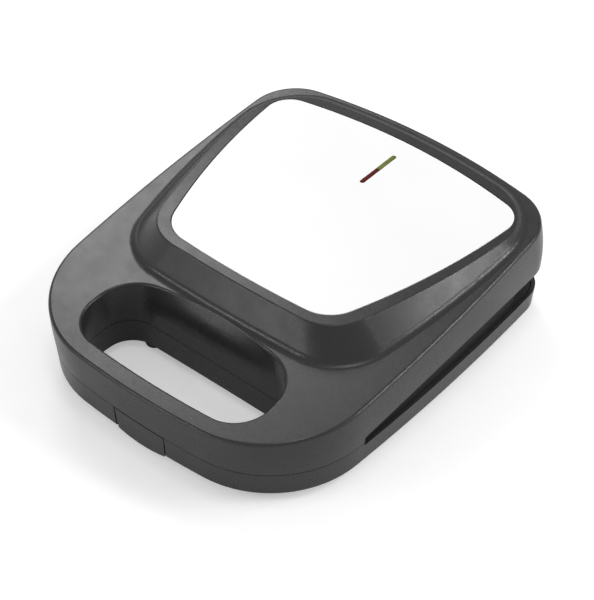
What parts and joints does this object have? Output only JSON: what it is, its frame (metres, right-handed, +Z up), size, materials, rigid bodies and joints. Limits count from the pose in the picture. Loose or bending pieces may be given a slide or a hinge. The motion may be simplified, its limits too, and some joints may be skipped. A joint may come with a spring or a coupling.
{
  "type": "cookie maker",
  "caption": "Clamshell electric cookie maker with round cookie cavities, a loop-shaped handle with a latch, a rear hinge and an indicator window in its raised lid.",
  "frame": {"origin": "centre of the footprint on the surface that the four feet stand on", "axes": "+Z up, +Y from the handle at the front to the hinge at the rear, so +X is on the right of someone who faces the handle and looks along +Y"},
  "size_m": [0.2278, 0.2731, 0.0745],
  "materials": {
    "housing_plastic": "fine grain, matte",
    "frame_plastic": "matte",
    "panel_white": "satin gloss",
    "lens_red": "clear tinted",
    "lens_green": "clear tinted",
    "coated_plate": "cast, with a dark non-stick coating",
    "sheathed_tube": "heat tinted",
    "zinc_steel": "zinc plated",
    "bright_aluminium": "rolled",
    "screw_steel": "zinc plated",
    "ceramic_white": "matte",
    "wire_insulation": "glass braid",
    "sleeve_fabric": "woven",
    "foot_rubber": "matte",
    "lamp_glass": "clear"
  },
  "bodies": {
    "base": {"base_housing": "housing_plastic", "base_frame": "frame_plastic", "base_handle_cover": "housing_plastic", "lower_plate": "coated_plate", "lower_element": "sheathed_tube", "lower_element_clips": "zinc_steel", "lower_reflector": "bright_aluminium", "thermostat": "bright_aluminium", "thermostat_strap": "zinc_steel", "terminal_block": "ceramic_white", "cord_gland": "frame_plastic", "base_wiring": "wire_insulation", "wire_sleeve": "sleeve_fabric", "hinge_pins": "zinc_steel", "foot_front_right": "foot_rubber", "foot_front_left": "foot_rubber", "foot_rear_right": "foot_rubber", "foot_rear_left": "foot_rubber", "base_screws": "screw_steel", "base_cover_screws": "screw_steel", "lower_plate_screws": "screw_steel", "lower_clip_screws": "screw_steel", "thermostat_screws": "screw_steel"},
    "lid": {"lid_housing": "housing_plastic", "lid_panel": "panel_white", "lens_red": "lens_red", "lens_green": "lens_green", "lamp_holder": "ceramic_white", "neon_lamps": "lamp_glass", "lid_frame": "frame_plastic", "lid_handle_cover": "housing_plastic", "upper_plate": "coated_plate", "upper_element": "sheathed_tube", "upper_element_clips": "zinc_steel", "upper_reflector": "bright_aluminium", "thermal_fuse": "zinc_steel", "fuse_strap": "zinc_steel", "lid_wiring": "wire_insulation", "hinge_arms": "zinc_steel", "latch_pin": "zinc_steel", "lid_screws": "screw_steel", "lid_rear_screws": "screw_steel", "lid_cover_screws": "screw_steel", "upper_plate_screws": "screw_steel", "upper_clip_screws": "screw_steel", "fuse_screws": "screw_steel", "reflector_screws": "screw_steel", "hinge_arm_screws": "screw_steel", "lamp_holder_screws": "screw_steel"},
    "latch": {"latch_clip": "housing_plastic"}
  },
  "joints": [
    {"name": "lid_hinge", "type": "hinge", "parent": "base", "child": "lid", "pos_m": [0, 0.1254, 0.0245], "axis": [-1, 0, 0], "range_deg": [0, 95]},
    {"name": "latch_pivot", "type": "hinge", "parent": "lid", "child": "latch", "pos_m": [0, -0.1294, 0.031], "axis": [-1, 0, 0], "range_deg": [-4, 12]}
  ]
}
